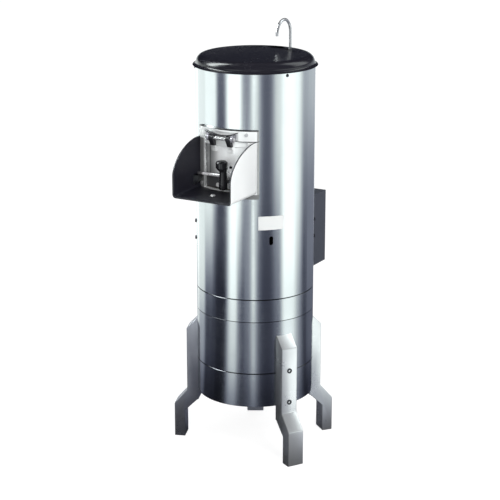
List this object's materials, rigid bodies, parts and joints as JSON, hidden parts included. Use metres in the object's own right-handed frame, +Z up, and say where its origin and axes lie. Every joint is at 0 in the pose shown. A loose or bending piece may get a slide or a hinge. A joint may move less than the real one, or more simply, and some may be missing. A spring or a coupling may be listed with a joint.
{
  "type": "electric potato peeler",
  "caption": "Tall round floor-standing peeler: cranked legs, lift-off lid with a water spout, outlet tray with a latched top-hung door, belt-driven abrasive disc, rear control box.",
  "frame": {"origin": "on the floor, under the middle of the part's bounding box", "axes": "+Z up along the drum; the outlet tray faces -Y and the control box +Y; +X to the right seen from the outlet"},
  "size_m": [0.4064, 0.5135, 1.1138],
  "materials": {
    "stainless": "brushed",
    "steel_parts": "satin",
    "dark_steel": "satin",
    "cast_aluminium": "satin cast",
    "chromed": "polished",
    "black_moulding": "gloss",
    "lid_black": "gloss",
    "black_matte": "matte",
    "box_grey": "satin",
    "seal_rubber": "matte",
    "plate_silver": "satin",
    "grit": "rough",
    "iron": "cast",
    "motor_paint": "painted",
    "valve_brass": "satin",
    "lever_blue": "gloss",
    "green_button": "gloss",
    "red_button": "gloss",
    "ivory": "matte"
  },
  "bodies": {
    "base": {"base_ring": "stainless", "bottom_plate": "steel_parts", "pedestal_shell": "stainless", "collar_shell": "stainless", "drum_shell": "stainless", "leg_front_left": "cast_aluminium", "leg_front_right": "cast_aluminium", "leg_rear_right": "cast_aluminium", "leg_rear_left": "cast_aluminium", "leg_fixings": "dark_steel", "shell_screws": "steel_parts", "nameplate": "plate_silver", "outlet_frame": "cast_aluminium", "chute_tray": "cast_aluminium", "tray_bracket": "cast_aluminium", "tray_screws": "steel_parts", "hinge_brackets": "dark_steel", "hinge_pin": "chromed", "hinge_spring": "dark_steel", "latch_keeper": "cast_aluminium", "lid_seat_ring": "steel_parts", "chamber_liner": "grit", "drain_pan": "cast_aluminium", "waste_pipe": "steel_parts", "shaft_seal": "seal_rubber", "bearing_housing": "iron", "spindle_bearings": "chromed", "drive_belt": "seal_rubber", "motor_body": "motor_paint", "fan_cover": "dark_steel", "motor_plate": "steel_parts", "plate_hangers": "steel_parts", "water_valve": "valve_brass", "riser_pipe": "chromed", "swivel_nut": "chromed", "pipe_brackets": "steel_parts", "control_box": "box_grey", "control_cover": "box_grey", "cover_screws": "steel_parts", "contactor": "ivory", "cable_gland": "black_matte"},
    "lid": {"lid": "lid_black"},
    "spout": {"swan_neck": "chromed"},
    "valve_lever": {"valve_lever": "lever_blue"},
    "door": {"door": "cast_aluminium", "door_seal": "seal_rubber", "door_studs": "chromed"},
    "latch": {"latch_arm": "chromed", "latch_grip": "black_moulding"},
    "disc_drive": {"spindle": "steel_parts", "peeling_disc": "cast_aluminium", "disc_grit": "grit", "disc_nut": "chromed", "spindle_pulley": "iron"},
    "motor_rotor": {"motor_shaft": "steel_parts", "motor_pulley": "iron"},
    "start_button": {"start_button": "green_button"},
    "stop_button": {"stop_button": "red_button"},
    "timer_knob": {"timer_knob": "black_moulding"}
  },
  "joints": [
    {"name": "lid_lift", "type": "slide", "parent": "base", "child": "lid", "axis": [0, 0, 1], "range_m": [0, 0.025]},
    {"name": "spout_swivel", "type": "hinge", "parent": "base", "child": "spout", "pos_m": [0.007, 0.1972, 1], "axis": [0, 0, 1], "range_deg": [-100, 100]},
    {"name": "valve_turn", "type": "hinge", "parent": "base", "child": "valve_lever", "pos_m": [0.007, 0.2192, 0.706], "axis": [0, 1, 0], "range_deg": [0, 90]},
    {"name": "door_swing", "type": "hinge", "parent": "base", "child": "door", "pos_m": [0.007, -0.155, 0.855], "axis": [-1, 0, 0], "range_deg": [0, 80]},
    {"name": "latch_turn", "type": "hinge", "parent": "door", "child": "latch", "pos_m": [0.014, -0.1545, 0.7605], "axis": [0, 1, 0], "range_deg": [0, 45]},
    {"name": "disc_spin", "type": "hinge", "parent": "base", "child": "disc_drive", "pos_m": [0.007, 0.011, 0.7], "axis": [0, 0, 1], "continuous": true},
    {"name": "motor_spin", "type": "hinge", "parent": "base", "child": "motor_rotor", "pos_m": [0.007, 0.107, 0.56], "axis": [0, 0, 1], "continuous": true},
    {"name": "start_press", "type": "slide", "parent": "base", "child": "start_button", "axis": [0, -1, 0], "range_m": [0, 0.004], "stiffness_N_per_m": 600},
    {"name": "stop_press", "type": "slide", "parent": "base", "child": "stop_button", "axis": [0, -1, 0], "range_m": [0, 0.004], "stiffness_N_per_m": 600},
    {"name": "timer_turn", "type": "hinge", "parent": "base", "child": "timer_knob", "pos_m": [0.007, 0.237, 0.5305], "axis": [0, -1, 0], "range_deg": [0, 270]}
  ],
  "couplings": [
    {"joint": "motor_spin", "follows": "disc_spin", "ratio": 3.3158}
  ]
}
